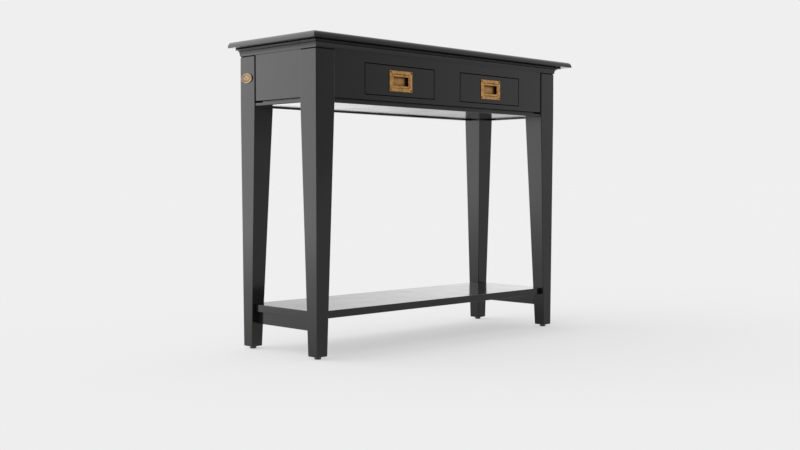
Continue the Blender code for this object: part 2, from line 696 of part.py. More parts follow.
def make_ring(hand, x, ride):
    """The ring that lies in the plate's well, with its origin on the hinge axis."""
    name = f"{hand}_pull_ring"
    centre_z = RING_AXIS_DROP - RING_H / 2
    slab = rounded_box(name, (0, 0, centre_z), (RING_W, RING_THICK, RING_H), RING_LOW_R, RING_TOP_R)
    ring = add_object(name, slab, BRASS, (x, HINGE_Y, HINGE_Z))
    soften(ring, RING_EDGE)
    hole_z = FRONT_MID_Z - HINGE_Z
    hole_size = (RING_HOLE_W, RING_THICK + CUT_OVERRUN, RING_HOLE_H)
    hole = rounded_box(f"{name}_hole", (0, 0, hole_z), hole_size, RING_HOLE_LOW_R, RING_HOLE_TOP_R)
    boolean(ring, make_cutter(f"{name}_hole", hole, ring.location))
    bar = cylinder_x(f"{name}_trunnions", TRUNNION_R, RING_W / 2 + TRUNNION_OUT)
    clear = 2 * (TRUNNION_R + TRUNNION_CLEAR)
    gap = (RING_HOLE_W + 2 * TRUNNION_OUT, clear, clear)
    stubs = make_cutter(f"{name}_trunnions", bar, ring.location)
    boolean(stubs, make_cutter(f"{name}_gap", cube_mesh(f"{name}_gap", gap), ring.location))
    boolean(ring, stubs, "UNION")
    attach(ring, ride)


def make_badge():
    """A low domed oval badge on the outer face of the left rear leg."""
    z = UNDER_TOP - BADGE_DROP
    y = leg_centre(-1, 1, z)[1]
    shoulder = BADGE_THICK - BADGE_CROWN
    profile = [(0, BADGE_THICK)]
    for step in range(1, BADGE_CROWN_STEPS + 1):
        share = step / BADGE_CROWN_STEPS
        profile.append((BADGE_CROWN_SHARE * share / 2, BADGE_THICK - BADGE_CROWN * share ** 2))
    profile += [(0.5, shoulder - BADGE_RIM), (0.5, 0), (0, 0)]
    mesh = turned_mesh("badge", profile, BADGE_STEPS)
    mesh.transform(Matrix.Diagonal((BADGE_H, BADGE_W, 1, 1)))
    mesh.transform(Matrix.Rotation(radians(-90), 4, "Y"))
    add_object("badge", mesh, PALE_BRASS, (-BODY_W / 2 - GAP / 2, y, z))


def add_empty(name, location, parent=None):
    """A plain frame that groups the pieces of one body."""
    empty = bpy.data.objects.new(name, None)
    empty.location = location
    empty.empty_display_size = 0.03
    parts.objects.link(empty)
    if parent:
        attach(empty, parent)
    return empty


def attach(child, parent):
    """Parents without moving the child: every parent here is an unturned empty."""
    origin = parent.location.copy()
    holder = parent.parent
    if holder:
        origin = Vector(parent["world"])
    child.parent = parent
    child.matrix_parent_inverse = Matrix.Translation(-origin)
    child["world"] = list(child.location)


make_table_top()
make_mouldings()
make_legs()
make_rails()
make_bottom()
make_runners()
for drawer_hand, drawer_side in (("left", -1), ("right", 1)):
    slide = add_empty(f"{drawer_hand}_drawer_slide", (drawer_side * DRAWER_X, RAIL_FRONT, FRONT_MID_Z))
    make_drawer(drawer_hand, drawer_side, slide)
    hinge = add_empty(f"{drawer_hand}_ring_hinge", (drawer_side * DRAWER_X, HINGE_Y, HINGE_Z), slide)
    make_ring(drawer_hand, drawer_side * DRAWER_X, hinge)
make_shelf()
make_badge()
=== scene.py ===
"""Gives a packed console table its finished shapes, materials, light and camera.

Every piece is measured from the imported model's nodes, in metres, with the front facing -Y.
"""

import json
from functools import partial
from math import cos, radians, sin, sqrt

import bmesh
import bpy
from bpy.props import FloatProperty, FloatVectorProperty, PointerProperty
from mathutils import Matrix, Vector

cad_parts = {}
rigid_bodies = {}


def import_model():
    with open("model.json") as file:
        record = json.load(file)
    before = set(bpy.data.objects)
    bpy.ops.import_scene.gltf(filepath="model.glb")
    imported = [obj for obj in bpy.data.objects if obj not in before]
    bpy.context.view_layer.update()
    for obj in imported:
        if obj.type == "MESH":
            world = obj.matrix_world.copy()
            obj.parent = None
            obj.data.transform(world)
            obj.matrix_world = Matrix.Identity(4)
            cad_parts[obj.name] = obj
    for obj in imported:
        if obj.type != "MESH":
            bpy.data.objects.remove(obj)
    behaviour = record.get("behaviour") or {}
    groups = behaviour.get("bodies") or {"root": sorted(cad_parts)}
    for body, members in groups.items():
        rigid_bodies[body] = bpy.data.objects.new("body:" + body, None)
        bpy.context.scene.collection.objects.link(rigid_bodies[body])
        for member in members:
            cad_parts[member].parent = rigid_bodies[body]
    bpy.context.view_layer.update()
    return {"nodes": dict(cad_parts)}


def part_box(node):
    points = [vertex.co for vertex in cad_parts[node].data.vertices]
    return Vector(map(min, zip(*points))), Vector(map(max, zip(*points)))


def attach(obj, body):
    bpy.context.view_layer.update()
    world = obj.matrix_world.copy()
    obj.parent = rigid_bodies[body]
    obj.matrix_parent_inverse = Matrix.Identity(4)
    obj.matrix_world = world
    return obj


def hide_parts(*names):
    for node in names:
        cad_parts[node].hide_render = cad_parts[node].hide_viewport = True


bl_info = {
    "name": "Console Table Finisher",
    "version": (1, 0, 0),
    "blender": (4, 5, 0),
    "location": "View3D > Sidebar > Console Table",
    "description": "Builds the finished pieces of a console table round its packed model",
    "category": "Object",
}

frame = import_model()

LEFT, RIGHT = -1, 1
FRONT, REAR = -1, 1
HANDS = {"left": LEFT, "right": RIGHT}
# The corners after the front left one, and how its leg is mirrored to each
OTHER_CORNERS = {"front_right": (-1, 1, 1), "rear_left": (1, -1, 1), "rear_right": (-1, -1, 1)}
SCREWS = range(1, 5)
UP = Vector((0, 0, 1))
ACROSS = Vector((1, 0, 0))
BACK = Vector((0, 1, 0))
MM = 0.001

# Points closer than NEAR are one point, and faces that turn less than FLAT are one flat
NEAR = 0.00002
FLAT = radians(1)
# The least cosine between a face and the way it looks: about that way, or exactly that way
ABOUT, EXACTLY = 0.9, 0.999
QUARTER, EIGHTH = radians(90), radians(45)
ARC_STEPS = 12
CORNER_STEPS = 8
BOARD_STEPS = 3

# Small roundings that sanding, casting or moulding leaves on an edge
MOULDING_ROUND = 0.25 * MM
LEG_ROUND, LEG_SHARP = 0.15 * MM, 50
GLIDE_ROUND = 0.25 * MM
STRIP_ROUND = 0.4 * MM
PANEL_ROUND = 0.3 * MM
BOX_ROUND = 0.8 * MM
RUNNER_ROUND = 0.6 * MM
PLATE_ROUND, PLATE_STEPS = 0.45 * MM, 3
RING_ROUND = 0.25 * MM
SCREW_ROUND = 0.12 * MM
BADGE_ROUND = 0.18 * MM

COVE_TOE = 1.2 * MM
NOSE_STEPS = 5
GLIDE_SIDES = 48
GLIDE_EDGE, GLIDE_EDGE_STEPS = 1.4 * MM, 4
GLIDE_RING, GLIDE_DISH = 3 * MM, 0.5 * MM
# Room between a pull and the wood, and between a screw and the plate
PULL_PLAY, SCREW_PLAY = 0.4 * MM, 0.12 * MM
PLATE_CORNER = 1 * MM
SCREW_SIDES = 32
SCREW_HOLE = 2.4 * MM
HEAD_THICK, HEAD_CONE, SLOT_DEEP = 0.5 * MM, 0.9 * MM, 0.5 * MM
SHANK_SHARE = 0.5

# The badge: share of its depth with an upright side, and how its lip closes in above that
BADGE_SIDES = 64
BADGE_UPRIGHT = 0.6
BADGE_DRAFT = (1, 0.97, 0.95)
BADGE_EDGE, BADGE_RIM, FIELD_SUNK, FIELD_FLAT = 0.4 * MM, 1.3 * MM, 0.7 * MM, 0.9 * MM
CROWN_RING, CROWN_RISES = 1.5 * MM, (0.2 * MM, 0.12 * MM)
LOZENGE = (1.4 * MM, 15 * MM, 8 * MM)
LOZENGE_BACK, LOZENGE_RIM, LOZENGE_SUNK = 0.75 * MM, 1.5 * MM, 0.25 * MM
# Badge faces deeper than this are brushed, and the rest are stamped
FIELD_FROM = 0.25 * MM

FLOOR_SIZE = 200.0
# Painted light on the floor, seen only in reflections: it grows brighter behind on the left, with
# distances and the brightness at each
BEHIND_LEFT = (-0.707, 0.707, 0)
MIRRORED_NEAR = (-0.2, 1.0, 0.8, 1.42)
MIRRORED_FAR = (1.0, 5.5, 0.0, 1.5)
# Soft lights in the sky: aim, strength, and the cosines where each starts and is full
SKY_BASE = 0.42
SKY_LIGHTS = (
    ((-0.72, 0.69, 0.20), 1.9, 0.35, 0.97),
    ((-0.59, 0.81, 0.06), 0.55, 0.88, 0.995),
    ((0.70, 0.71, 0.08), 0.56, 0.3, 0.8),
    ((0.98, 0.0, 0.2), 0.9, 0.52, 0.88),
    ((-0.55, 0.45, 0.70), 1.5, 0.3, 1.0),
)


def linear(colour):
    """Turns an sRGB hex colour into the linear values that Blender works in."""
    parts = [int(colour[i : i + 2], 16) / 255 for i in (0, 2, 4)]
    return tuple(p / 12.92 if p <= 0.04045 else ((p + 0.055) / 1.055) ** 2.4 for p in parts)


def length(name, description, default):
    """A size in metres that a user may change."""
    return FloatProperty(
        name=name, description=description, default=default, min=0.0, unit="LENGTH", precision=5
    )


def tint(name, description, default):
    """A colour that a user may change."""
    return FloatVectorProperty(
        name=name, description=description, default=linear(default), min=0.0, max=1.0,
        subtype="COLOR",
    )


def amount(name, description, default):
    """A plain number from nothing upwards."""
    return FloatProperty(name=name, description=description, default=default, min=0.0)


class ConsoleShapes(bpy.types.PropertyGroup):
    """Sizes of the edges and mouldings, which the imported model's boxes don't give."""

    top_lip: length("Top lip", "Upright part of the top's edge, below the rounding", 0.0018)
    top_run: length("Top edge run", "How far the rounded edge of the top goes in", 0.011)
    board_edge: length("Board edge", "Rounding on the edges of rails and fronts", 0.0007)
    leg_edge: length("Leg edge", "Rounding on the long edges of the legs", 0.0018)
    shelf_edge: length("Shelf edge", "Rounding on the edges of the low shelf", 0.0011)
    leg_foot: length("Leg foot", "Width of a leg at its foot", 0.0344)
    leg_taper: length("Leg outer taper", "How far the outer faces lean in at the foot", 0.004)
    strip_nose: length("Strip nose", "Rounding on the outer lower edge of the strips", 0.0022)
    top_gap: length("Gap under the top", "Height of the gap between top and moulding", 0.0016)
    leg_gap: length("Gap on the legs", "Height of the gap in each leg under the moulding", 0.0028)
    top_gap_deep: length("Top gap depth", "How far the gap under the top goes in", 0.001)
    leg_gap_deep: length("Leg gap depth", "How far the gaps in the legs go in", 0.0014)
    band_high: length("Moulding band", "Height of the band at the moulding's top", 0.0026)
    fillet_high: length("Moulding fillet", "Height of the fillet under the band", 0.0016)
    fillet_out: length("Fillet stand-out", "How far the fillet stands out from the legs", 0.0080)
    quirk_high: length("Moulding quirk", "Height of the groove between fillet and cove", 0.0009)
    quirk_deep: length("Moulding quirk depth", "How far the groove goes in behind the cove", 0.0035)
    cove_out: length("Cove top", "How far the cove stands out at its top", 0.0062)
    cove_foot: length("Cove foot", "How far the cove stands out at its foot", 0.0012)
    plate_thick: length("Plate thickness", "Thickness of a pull's plate", 0.0016)
    well_wide: length("Well width", "Width of the sunk well in a pull", 0.066)
    well_high: length("Well height", "Height of the sunk well in a pull", 0.037)
    well_deep: length("Well depth", "Depth of the sunk well, from the plate's face", 0.0084)
    well_wall: length("Well wall", "Thickness of the well's pressed wall", 0.0011)
    well_low_round: length("Well lower corners", "Radius of the two lower corners", 0.0089)
    well_high_round: length("Well upper corners", "Radius of the two upper corners", 0.0026)
    screw_slot: length("Screw slot", "Width of the slot in a screw's head", 0.0007)


class ConsoleFinish(bpy.types.PropertyGroup):
    """Colours of the materials, and how rough the lacquer is."""

    lacquer: tint("Lacquer", "Black lacquer where it is full", "141413")
    lacquer_thin: tint("Thin lacquer", "Lacquer where it is rubbed thin on an edge", "2a2724")
    lacquer_rough: amount("Lacquer roughness", "How dull the lacquer is, from 0 to 1", 0.13)
    # Near-black colour of the faces inside the gaps: painted shade
    stain: tint("Bare stain", "Black stain on the bare wood inside the gaps", "0f0f0e")
    brass: tint("Brass", "Antique brass where it is rubbed bright", "c2945c")
    brass_dark: tint("Brass patina", "Antique brass where it is dark in the corners", "4a2d17")
    screw_brass: tint("Screws", "Red brown of the screws in the pulls", "6b3618")
    pale_brass: tint("Pale brass", "Raised rim and ornament of the badge", "ab9678")
    pale_field: tint("Badge field", "Sunk field of the badge", "7a6853")
    poplar: tint("Poplar", "Light bands of the drawer wood", "c8a97c")
    poplar_dark: tint("Poplar grain", "Dark bands of the drawer wood", "a9845a")
    nylon: tint("Nylon", "Black nylon of the glides", "101010")


class ConsoleStage(bpy.types.PropertyGroup):
    """Floor, light and camera."""

    pale: tint("Pale floor", "Colour of the floor and of what lies behind it", "efefef")
    shade: amount("Floor shading", "Share of the floor's light that the table can shade", 0.40)
    open_light: amount("Open light", "Brightness of the light on the open floor", 1.28)
    camera_place: FloatVectorProperty(
        name="Camera place", description="Where the camera stands",
        default=(-2.2142, -2.1712, 0.4334), subtype="XYZ",
    )
    camera_aim: FloatVectorProperty(
        name="Camera aim", description="Which way the camera looks",
        default=(0.70527, 0.70795, -0.03739), subtype="XYZ",
    )
    camera_lens: FloatProperty(
        name="Lens", description="Focal length in millimetres", default=49.42, min=1.0
    )


# ---------------- shaping


def claim(name):
    """Names the new object and puts its place in its mesh."""
    piece = bpy.context.object
    piece.name = piece.data.name = name
    bpy.ops.object.transform_apply(location=True, rotation=True, scale=True)
    return piece


def deselect():
    """Leaves no object selected."""
    bpy.ops.object.select_all(action="DESELECT")


def select_only(piece):
    """Makes one piece the active one, with nothing else selected."""
    deselect()
    piece.select_set(True)
    bpy.context.view_layer.objects.active = piece


def start_box(name, low, high):
    """A block between two corners."""
    low, high = Vector(low), Vector(high)
    deselect()
    bpy.ops.mesh.primitive_cube_add(size=1.0, location=(low + high) / 2, scale=high - low)
    return claim(name)


def start_disc(name, sides, radius, depth, centre, turn=(0, 0, 0), scale=(1, 1, 1)):
    """A round block about a centre, upright unless it is turned."""
    deselect()
    bpy.ops.mesh.primitive_cylinder_add(
        vertices=sides, radius=radius, depth=depth, location=centre, rotation=turn, scale=scale
    )
    return claim(name)


def start_outline(name, points):
    """A flat face that follows a closed outline. It is left open for shaping."""
    deselect()
    bpy.ops.mesh.primitive_plane_add(size=MM, location=points[0])
    piece = claim(name)
    edit()
    bpy.ops.mesh.select_mode(type="VERT")
    pick_all()
    bpy.ops.mesh.merge(type="CENTER")
    for here, there in zip(points, points[1:]):
        step = Vector(there) - Vector(here)
        bpy.ops.mesh.extrude_vertices_move(TRANSFORM_OT_translate={"value": step})
    pick_all()
    bpy.ops.mesh.edge_face_add()
    return piece


def start_slab(name, points, **step):
    """A block that is a closed outline drawn out by a step."""
    piece = start_outline(name, points)
    pull(**step)
    close()
    return piece


def edit():
    """Opens the active piece for shaping."""
    bpy.ops.object.mode_set(mode="EDIT")


def close():
    """Closes the piece, with all its faces turned outwards."""
    pick_all()
    bpy.ops.mesh.normals_make_consistent(inside=False)
    bpy.ops.object.mode_set(mode="OBJECT")


def pick_all():
    """Selects the whole of the open piece."""
    bpy.ops.mesh.select_all(action="SELECT")


def pick(kind, test):
    """Selects only the faces or the edges that pass the test."""
    bpy.ops.mesh.select_mode(type=kind)
    bpy.ops.mesh.select_all(action="DESELECT")
    data = bpy.context.edit_object.data
    mesh = bmesh.from_edit_mesh(data)
    for part in mesh.faces if kind == "FACE" else mesh.edges:
        if test(part):
            part.select_set(True)
    bmesh.update_edit_mesh(data)


def pick_faces(test):
    """Selects only the faces whose centre and normal pass the test."""
    pick("FACE", lambda face: test(face.calc_center_median(), face.normal))


def facing(way, straight=ABOUT):
    """A test that picks the faces that look one way."""
    return lambda centre, normal: normal.dot(way) > straight


def pick_edges(test):
    """Selects only the edges whose two ends pass the test."""
    pick("EDGE", lambda edge: all(test(vertex.co) for vertex in edge.verts))


def cut(way, *levels):
    """Cuts the whole of the open piece square to one way, at each level."""
    for level in levels:
        pick_all()
        bpy.ops.mesh.bisect(plane_co=way * level, plane_no=way)


def dissolve_flats():
    """Joins the open piece's faces that lie in one flat."""
    pick_all()
    bpy.ops.mesh.dissolve_limited(angle_limit=FLAT)


def pull(x=0.0, y=0.0, z=0.0):
    """Extrudes what is selected by a step."""
    bpy.ops.mesh.extrude_region_move(TRANSFORM_OT_translate={"value": (x, y, z)})


def inset(thickness):
    """Draws a narrower copy of the selected faces inside them."""
    bpy.ops.mesh.inset(thickness=thickness, depth=0.0)


def shift(x, y, z):
    """Moves what is selected."""
    bpy.ops.transform.translate(value=(x, y, z))


def stretch(x, y, z, centre):
    """Scales what is selected about a point."""
    bpy.ops.transform.resize(value=(x, y, z), center_override=centre)


def swing(angle, axis, centre):
    """Turns what is selected about a point. With no window, rotate needs the other sign."""
    bpy.ops.transform.rotate(value=-angle, orient_axis=axis, center_override=centre)


def copy_piece(piece, name, move=(0, 0, 0), scale=(1, 1, 1), centre=(0, 0, 0)):
    """A copy with its own mesh, moved or mirrored in that mesh."""
    select_only(piece)
    bpy.ops.object.duplicate()
    twin = claim(name)
    edit()
    pick_all()
    shift(*move)
    stretch(*scale, centre)
    close()
    return twin


def copy_node(name, node):
    """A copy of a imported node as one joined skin, ready for its edges to be rounded."""
    select_only(frame["nodes"][node])
    bpy.ops.object.duplicate()
    bpy.ops.object.parent_clear(type="CLEAR_KEEP_TRANSFORM")
    twin = claim(name)
    twin.data.materials.clear()
    for key in [key for key in twin.keys() if key.startswith("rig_")]:
        del twin[key]
    edit()
    pick_all()
    bpy.ops.mesh.remove_doubles(threshold=NEAR)
    dissolve_flats()
    close()
    return twin


def apply_modifier(piece, kind, **settings):
    """Adds a modifier with its settings and applies it."""
    select_only(piece)
    bpy.ops.object.modifier_add(type=kind)
    modifier = piece.modifiers[-1]
    for name, value in settings.items():
        setattr(modifier, name, value)
    bpy.ops.object.modifier_apply(modifier=modifier.name)


def round_edges(piece, width, segments=2, sharp=35):
    """Rounds every sharp edge and shades the piece so that its flats stay flat."""
    apply_modifier(
        piece, "BEVEL", width=width, segments=segments, limit_method="ANGLE",
        angle_limit=radians(sharp), miter_outer="MITER_ARC",
    )
    bpy.ops.object.shade_smooth_by_angle(angle=radians(sharp))
    apply_modifier(piece, "WEIGHTED_NORMAL", keep_sharp=True, weight=100)


def hand_over(piece, body, finish, slot, *nodes):
    """Gives a finished piece its material and its body, and hides the nodes that it stands for."""
    piece.data.materials.clear()
    piece.data.materials.append(finish_for(finish))
    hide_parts(*nodes)
    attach(piece, body)


def hand_over_lacquered(piece, grain, *nodes, body="carcase"):
    """Hands over a piece of lacquered wood with its grain along an axis."""
    hand_over(piece, body, f"black_lacquered_wood_{grain}", "black_lacquered_wood", *nodes)


def refinish_faces(piece, finish, test):
    """Gives the faces that pass the test a finish of their own."""
    piece.data.materials.append(finish_for(finish))
    select_only(piece)
    edit()
    pick_faces(test)
    piece.active_material_index = 1
    bpy.ops.object.material_slot_assign()
    bpy.ops.object.mode_set(mode="OBJECT")


# ---------------- materials


def set_inputs(tree, node, inputs):
    """Sets each input to a value, or links it to an output. A plain list goes by order."""
    for name, value in inputs.items() if isinstance(inputs, dict) else enumerate(inputs):
        if isinstance(value, bpy.types.NodeSocket):
            tree.links.new(value, node.inputs[name])
        else:
            node.inputs[name].default_value = value


def add_node(tree, kind, inputs=(), out=0, **settings):
    """Adds one node with its settings and links, and gives one of its outputs.

    A MapRange's list is its value, the range that comes in, and the range that goes out.
    """
    node = tree.nodes.new("ShaderNode" + kind)
    for name, value in settings.items():
        setattr(node, name, value)
    set_inputs(tree, node, inputs)
    return node.outputs[out] if node.outputs else None


# Sockets of a Mix node, and its settings, when it mixes colours
MIX_A, MIX_B = 6, 7
OF_COLOURS = {"out": 2, "data_type": "RGBA"}


def start_material(name):
    """A Principled material, with one function that adds a node and one that sets its shader."""
    material = bpy.data.materials.new(name)
    material.use_nodes = True
    tree = material.node_tree
    shader = tree.nodes["Principled BSDF"]
    return material, partial(add_node, tree), partial(set_inputs, tree, shader)


def edge_mask(add, radius, low, high):
    """White along edges that a hand or cloth rubs, black on the flats."""
    rounded = add("Bevel", {"Radius": radius}, samples=6)
    flat = add("NewGeometry", out="Normal")
    alike = add("VectorMath", (rounded, flat), "Value", operation="DOT_PRODUCT")
    return add("MapRange", (alike, high, low, 0.0, 1.0), interpolation_type="SMOOTHSTEP")


def streaks(add, place, grain, wide, long, **noise):
    """Streaks along an axis, from the width and length of one in metres."""
    scale = [1 / wide] * 3
    scale["xyz".index(grain)] = 1 / long
    drawn = add("Mapping", {"Vector": place, "Scale": scale})
    return add("TexNoise", {"Vector": drawn, "Scale": 1.0, **noise})


def black_lacquer(name, finish, grain):
    """Black lacquer, sprayed on sanded wood and rubbed to a satin gloss.

    To the eye it is a deep black that mirrors pale things softly. The wood's grain shows
    through as faint ridges, the spray leaves a fine orange peel, and the edges are rubbed a
    little thinner and browner.
    """
    material, add, shade = start_material(name)
    place = add("TexCoord", out="Object")
    # Grain ridges are drawn 1.5 mm apart, coarser than the real 0.5 mm, and 60 mm long
    ridges = streaks(add, place, grain, 1.5 * MM, 60 * MM, Detail=3.0, Roughness=0.6)
    # Orange peel from the spray gun is about 3 mm across
    peel = add("TexNoise", {"Vector": place, "Scale": 1 / (3 * MM), "Detail": 1.0})
    # Uneven rubbing shows over about 70 mm
    clouds = add("TexNoise", {"Vector": place, "Scale": 1 / (70 * MM), "Detail": 4.0})
    worn = edge_mask(add, 1.2 * MM, 0.90, 0.995)
    patchy = add("Math", (worn, clouds), operation="MULTIPLY")
    full, thin, rough = (*finish.lacquer, 1), (*finish.lacquer_thin, 1), finish.lacquer_rough
    bump = add("Bump", {"Height": peel, "Strength": 0.25, "Distance": 0.02 * MM})
    ridged = {"Height": ridges, "Strength": 0.12, "Distance": 0.015 * MM, "Normal": bump}
    # Painted shade: where ambient occlusion finds a narrow gap, the lacquer's reflection is turned
    # down, so the gap reads as a dark line
    unoccluded = add("AmbientOcclusion", {"Distance": 6 * MM}, "AO", samples=6)
    shade({
        "Base Color": add("Mix", {"Factor": patchy, MIX_A: full, MIX_B: thin}, **OF_COLOURS),
        "Roughness": add("MapRange", (clouds, 0.3, 0.7, rough - 0.03, rough + 0.04)),
        "Normal": add("Bump", ridged),
        "IOR": 1.4,
        "Specular IOR Level": add("MapRange", (unoccluded, 0.15, 0.52, 0.03, 0.5)),
    })
    return material


def antique_brass(name, finish, colour, rough, reach):
    """Cast brass, brushed, darkened with acid and rubbed back.

    To the eye it is a warm gold on the raised flats that turns red brown in the corners and
    recesses. The reach is how far from a wall, in metres, the dark patina spreads.
    """
    material, add, shade = start_material(name)
    place = add("TexCoord", out="Object")
    # Stains of the patina are about 8 mm across
    size = {"Scale": 1 / (8 * MM), "Detail": 5.0, "Roughness": 0.65}
    stains = add("TexNoise", {"Vector": place, **size})
    # Brush lines 0.6 mm apart run along the plate
    lines = streaks(add, place, "x", 0.6 * MM, 14 * MM, Detail=2.0)
    unoccluded = add("AmbientOcclusion", {"Distance": reach}, "AO", samples=8)
    deep = add("MapRange", (unoccluded, 0.97, 0.5, 0.0, 0.92))
    stained = add("MapRange", (stains, 0.42, 0.62, 0.0, 0.45))
    dark = add("Math", (deep, stained), operation="MAXIMUM")
    bright, patina = (*getattr(finish, colour), 1), (*finish.brass_dark, 1)
    shade({
        "Base Color": add("Mix", {"Factor": dark, MIX_A: bright, MIX_B: patina}, **OF_COLOURS),
        "Roughness": add("MapRange", (dark, 0.0, 1.0, rough, rough + 0.2)),
        "Metallic": 1.0,
        "Normal": add("Bump", {"Height": lines, "Strength": 0.35, "Distance": 0.03 * MM}),
    })
    return material


def planed_poplar(name, finish, grain):
    """Planed poplar, clear finished, for the drawer boxes and the runners.

    To the eye it is a matt pale wood with soft long bands and fine darker pores.
    """
    material, add, shade = start_material(name)
    place = add("TexCoord", out="Object")
    # Growth bands are about 7 mm apart and wander over 150 mm
    bands = streaks(add, place, grain, 7 * MM, 150 * MM, Detail=4.0, Roughness=0.55, Distortion=0.6)
    # Pores are 0.4 mm wide and 8 mm long
    pores = streaks(add, place, grain, 0.4 * MM, 8 * MM, Detail=2.0)
    banded = add("MapRange", (bands, 0.35, 0.68, 0.0, 0.8))
    pored = add("MapRange", (pores, 0.58, 0.75, 0.0, 0.5))
    dark = add("Math", (banded, pored), operation="MAXIMUM")
    light, grained = (*finish.poplar, 1), (*finish.poplar_dark, 1)
    shade({
        "Base Color": add("Mix", {"Factor": dark, MIX_A: light, MIX_B: grained}, **OF_COLOURS),
        "Roughness": add("MapRange", (dark, 0.0, 1.0, 0.45, 0.62)),
        "Normal": add("Bump", {"Height": pores, "Strength": 0.4, "Distance": 0.06 * MM}),
        "IOR": 1.5,
    })
    return material


def painted_gap_shade(name, finish):
    """A near-black, dull finish for the faces inside the narrow gaps: painted shade that makes each
    gap read as a deep shadow line.
    """
    material, add, shade = start_material(name)
    place = add("TexCoord", out="Object")
    # Raised fibres on the gap faces are about 1 mm apart
    fibres = add("TexNoise", {"Vector": place, "Scale": 1 / (1 * MM), "Detail": 2.0})
    shade({
        "Base Color": (*finish.stain, 1),
        "Roughness": add("MapRange", (fibres, 0.3, 0.7, 0.8, 0.95)),
        "Normal": add("Bump", {"Height": fibres, "Strength": 0.3, "Distance": 0.05 * MM}),
        "Specular IOR Level": 0.1,
    })
    return material


def moulded_nylon(name, finish):
    """Black nylon from a mould: matt, with a fine even grain and scuffs from the floor."""
    material, add, shade = start_material(name)
    place = add("TexCoord", out="Object")
    # The mould's grain is 0.5 mm across, and scuffs are about 4 mm long
    grit = add("TexNoise", {"Vector": place, "Scale": 1 / (0.5 * MM), "Detail": 2.0})
    scuffs = add("TexNoise", {"Vector": place, "Scale": 1 / (4 * MM), "Detail": 4.0})
    rubbed = add("MapRange", (scuffs, 0.5, 0.8, 0.0, 0.6))
    full = (*finish.nylon, 1)
    pale = (*(4 * part + 0.01 for part in finish.nylon), 1)
    shade({
        "Base Color": add("Mix", {"Factor": rubbed, MIX_A: full, MIX_B: pale}, **OF_COLOURS),
        "Roughness": add("MapRange", (grit, 0.3, 0.7, 0.4, 0.55)),
        "Normal": add("Bump", {"Height": grit, "Strength": 0.3, "Distance": 0.03 * MM}),
        "IOR": 1.53,
    })
    return material


# How each finish is made. A brass takes its colour, its roughness and the patina's reach
MAKERS = {
    "black_lacquered_wood_x": (black_lacquer, "x"),
    "black_lacquered_wood_y": (black_lacquer, "y"),
    "black_lacquered_wood_z": (black_lacquer, "z"),
    # Painted shade for the faces inside the narrow gaps
    "bare_black_stain": (painted_gap_shade,),
    "poplar_x": (planed_poplar, "x"),
    "poplar_y": (planed_poplar, "y"),
    "antique_cast_brass": (antique_brass, "brass", 0.3, 25 * MM),
    "dark_turned_brass": (antique_brass, "screw_brass", 0.38, 3 * MM),
    "pale_stamped_brass": (antique_brass, "pale_brass", 0.48, 1 * MM),
    "pale_brushed_field": (antique_brass, "pale_field", 0.55, 2 * MM),
    "moulded_black_nylon": (moulded_nylon,),
}


def finish_for(name):
    """The material of that name, made the first time that it is asked for."""
    if name not in bpy.data.materials:
        maker, *details = MAKERS[name]
        maker(name, bpy.context.scene.console_finish, *details)
    return bpy.data.materials[name]


# ---------------- pieces


class CONSOLE_OT_top(bpy.types.Operator):
    """Makes the top board, with its edge rounded over at the front and both ends"""

    bl_idname = "console_table.top"
    bl_label = "Top"

    def execute(self, context):
        shapes = context.scene.console_shapes
        low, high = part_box("table_top")
        width, depth = high.x - low.x, high.y - low.y
        bottom = low.z + shapes.top_lip
        piece = start_box("top_board", low, (high.x, high.y, bottom))
        edit()
        pick_faces(facing(UP))
        level, inset_now = bottom, 0.0
        for step in range(1, ARC_STEPS + 1):
            angle = QUARTER * step / ARC_STEPS
            next_level = bottom + (high.z - bottom) * sin(angle)
            next_inset = shapes.top_run * (1 - cos(angle))
            pull(z=next_level - level)
            ratio_x = (width - 2 * next_inset) / (width - 2 * inset_now)
            ratio_y = (depth - next_inset) / (depth - inset_now)
            stretch(ratio_x, ratio_y, 1, (0, high.y, next_level))
            level, inset_now = next_level, next_inset
        close()
        round_edges(piece, shapes.board_edge, BOARD_STEPS)
        hand_over_lacquered(piece, "x", "table_top")
        return {"FINISHED"}


